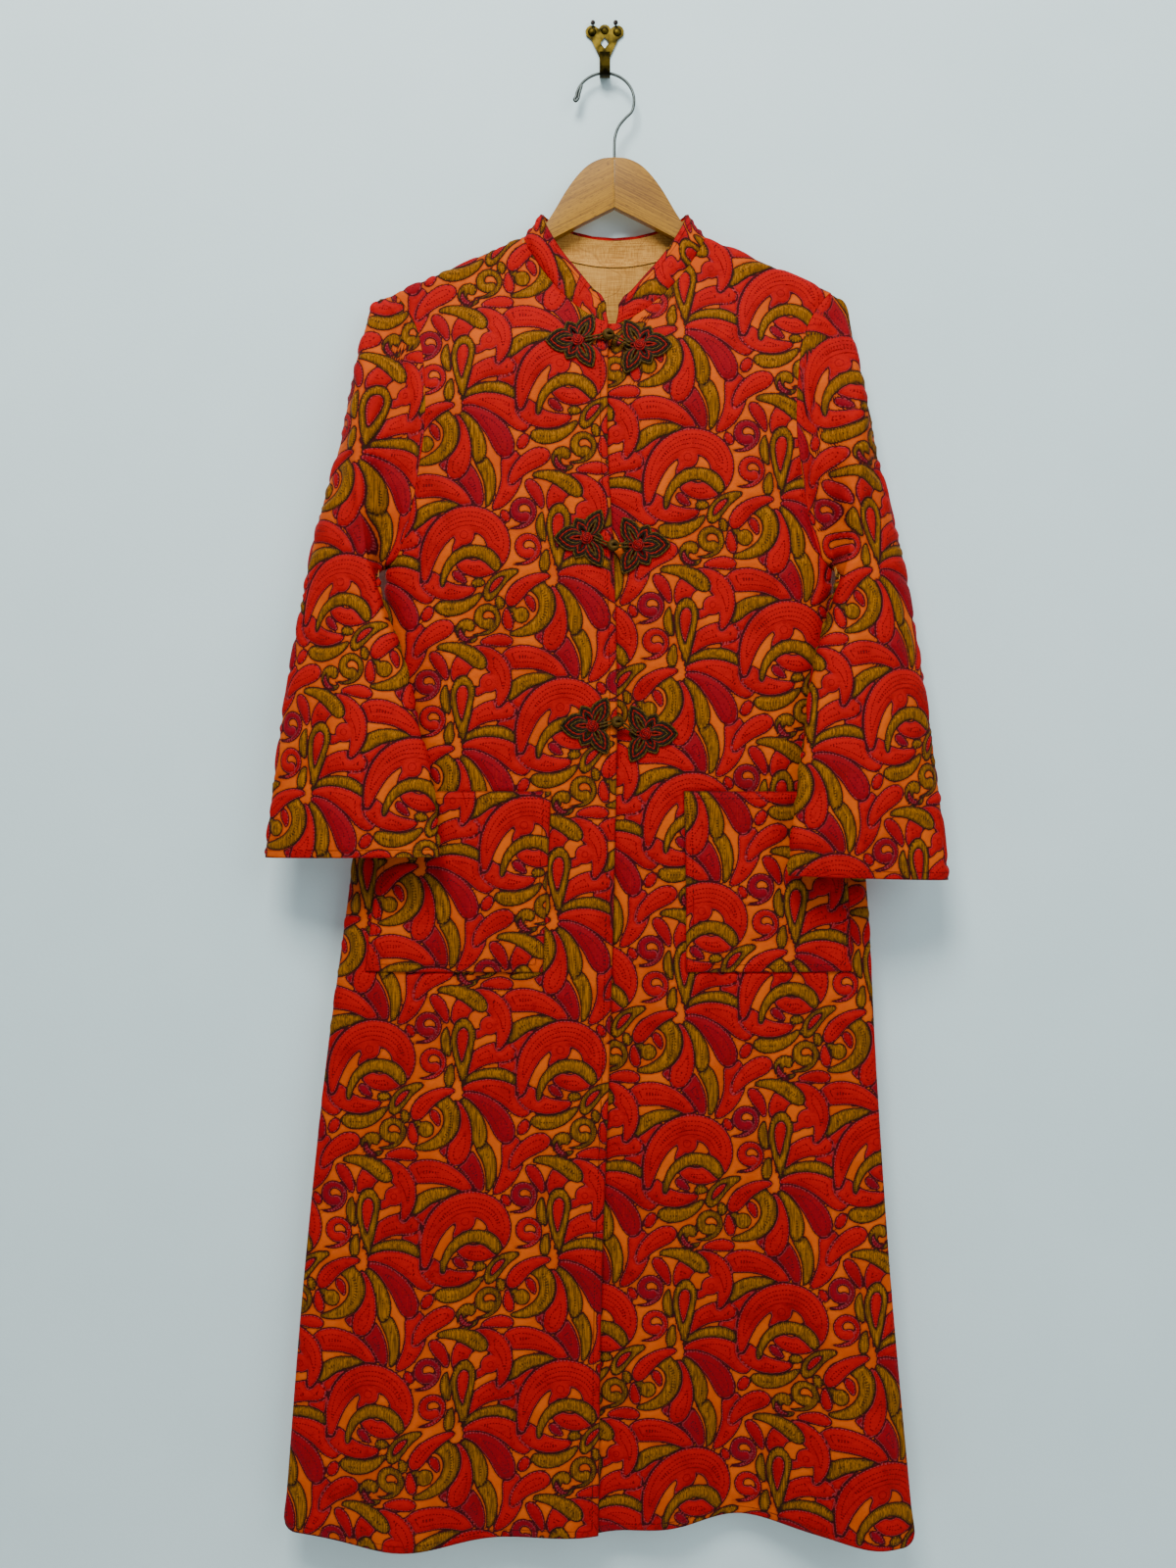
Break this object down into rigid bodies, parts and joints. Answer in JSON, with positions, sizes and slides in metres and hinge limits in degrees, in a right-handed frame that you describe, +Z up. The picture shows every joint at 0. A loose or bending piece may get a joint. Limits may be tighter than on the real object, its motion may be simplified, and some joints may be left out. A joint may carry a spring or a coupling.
{
  "type": "quilted coat on a wooden hanger and wall hook",
  "caption": "Long quilted cotton coat with stand collar, patch pockets and cord frog fasteners, hung open-bodied on a wooden hanger from a small brass wall hook.",
  "frame": {"origin": "centre of the flat back of the wall hook's shank, on the wall", "axes": "+X to the right of someone facing the coat, +Y into the wall, +Z up; the coat hangs down along -Z"},
  "size_m": [0.701, 0.0983, 1.5974],
  "materials": {
    "quilt": "printed cotton, quilted, matt",
    "muslin": "unbleached cotton, matt",
    "cord": "covered cord, soft sheen",
    "beech": "clear satin varnish",
    "steel": "bright drawn wire",
    "brass": "aged, dull",
    "nail": "dark, dull"
  },
  "bodies": {
    "root": {"front_right": "quilt", "front_left": "quilt", "back": "quilt", "sleeve_right": "quilt", "sleeve_left": "quilt", "collar": "quilt", "collar_facing": "muslin", "pocket_right": "quilt", "pocket_left": "quilt", "frog_right_1": "cord", "frog_right_2": "cord", "frog_right_3": "cord", "frog_left_1": "cord", "frog_left_2": "cord", "frog_left_3": "cord", "frog_knot_1": "cord", "frog_knot_2": "cord", "frog_knot_3": "cord", "hanger_arm_right": "beech", "hanger_arm_left": "beech", "hanger_hook": "steel", "wall_hook": "brass", "wall_nail_1": "nail", "wall_nail_2": "nail"}
  },
  "joints": []
}
